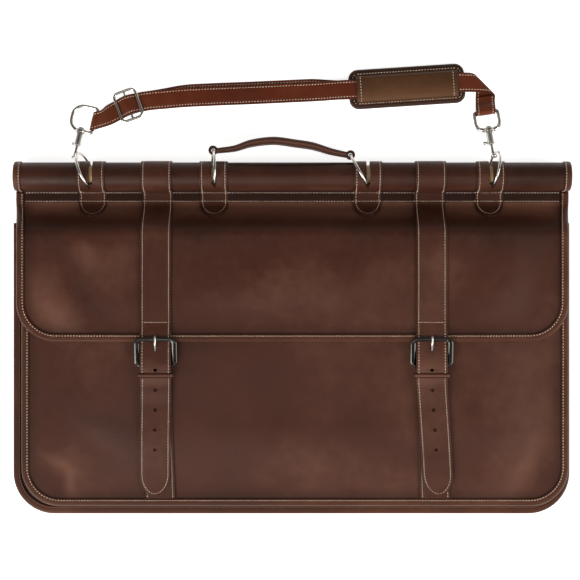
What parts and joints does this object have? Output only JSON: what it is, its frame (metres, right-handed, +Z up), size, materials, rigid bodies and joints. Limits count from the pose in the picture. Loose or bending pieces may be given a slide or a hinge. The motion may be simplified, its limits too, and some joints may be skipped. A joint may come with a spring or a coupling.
{
  "type": "leather hunting bag",
  "caption": "Large leather bag lying on its back: gusseted body, flap with buckled straps, rod-stiffened rolled top, rings, handle and padded shoulder strap on snap hooks.",
  "frame": {"origin": "centre of the base of the whole object's box, on the surface that the bag lies on", "axes": "+X to the right along the top beam, +Y from the bag's foot towards the beam and the shoulder strap, +Z up from the surface"},
  "size_m": [0.6316, 0.5112, 0.0549],
  "materials": {
    "hide": "waxed dark brown bridle hide",
    "edge_binding": "folded dark brown binding strip",
    "strap_hide": "burnished strap leather",
    "shoulder_hide": "red-brown strap leather with pale stitching",
    "pad_hide": "soft matt brown leather over a cushion",
    "nickel": "polished nickel plate",
    "rod_wood": "pale turned wood"
  },
  "bodies": {
    "root": {"rod": "rod_wood", "flap": "hide", "flap_binding": "edge_binding", "beam_binding_left": "edge_binding", "beam_binding_right": "edge_binding", "back_panel": "hide", "back_binding": "edge_binding", "front_panel": "hide", "front_binding": "edge_binding", "gusset": "hide", "tab_shoulder_left": "strap_hide", "tab_handle_left": "strap_hide", "tab_handle_right": "strap_hide", "tab_shoulder_right": "strap_hide", "ring_shoulder_left": "nickel", "ring_handle_left": "nickel", "ring_handle_right": "nickel", "ring_shoulder_right": "nickel", "closing_strap_left": "strap_hide", "closing_strap_right": "strap_hide", "front_strap_left": "strap_hide", "front_strap_right": "strap_hide", "buckle_frame_left": "nickel", "buckle_frame_right": "nickel", "buckle_prong_left": "nickel", "buckle_prong_right": "nickel", "keeper_left": "strap_hide", "keeper_right": "strap_hide", "handle": "strap_hide", "shoulder_strap": "shoulder_hide", "strap_slide": "nickel", "shoulder_pad": "pad_hide", "pad_cover": "pad_hide", "hook_eye_left": "nickel", "hook_eye_right": "nickel"},
    "hook_left": {"hook_body_left": "nickel"},
    "bolt_left": {"hook_bolt_left": "nickel"},
    "hook_right": {"hook_body_right": "nickel"},
    "bolt_right": {"hook_bolt_right": "nickel"}
  },
  "joints": [
    {"name": "swivel_left", "type": "hinge", "parent": "root", "child": "hook_left", "pos_m": [-0.23237, 0.20825, 0.00808], "axis": [-0.2037, -0.9585, 0.1996], "range_deg": [-50, 4]},
    {"name": "bolt_slide_left", "type": "slide", "parent": "hook_left", "child": "bolt_left", "axis": [0.2037, 0.9585, -0.1996], "range_m": [0, 0.008], "stiffness_N_per_m": 400, "springref_m": -0.004},
    {"name": "swivel_right", "type": "hinge", "parent": "root", "child": "hook_right", "pos_m": [0.21896, 0.20908, 0.008], "axis": [0.134, -0.9535, 0.27], "range_deg": [-50, 14]},
    {"name": "bolt_slide_right", "type": "slide", "parent": "hook_right", "child": "bolt_right", "axis": [-0.134, 0.9535, -0.27], "range_m": [0, 0.008], "stiffness_N_per_m": 400, "springref_m": -0.004}
  ]
}
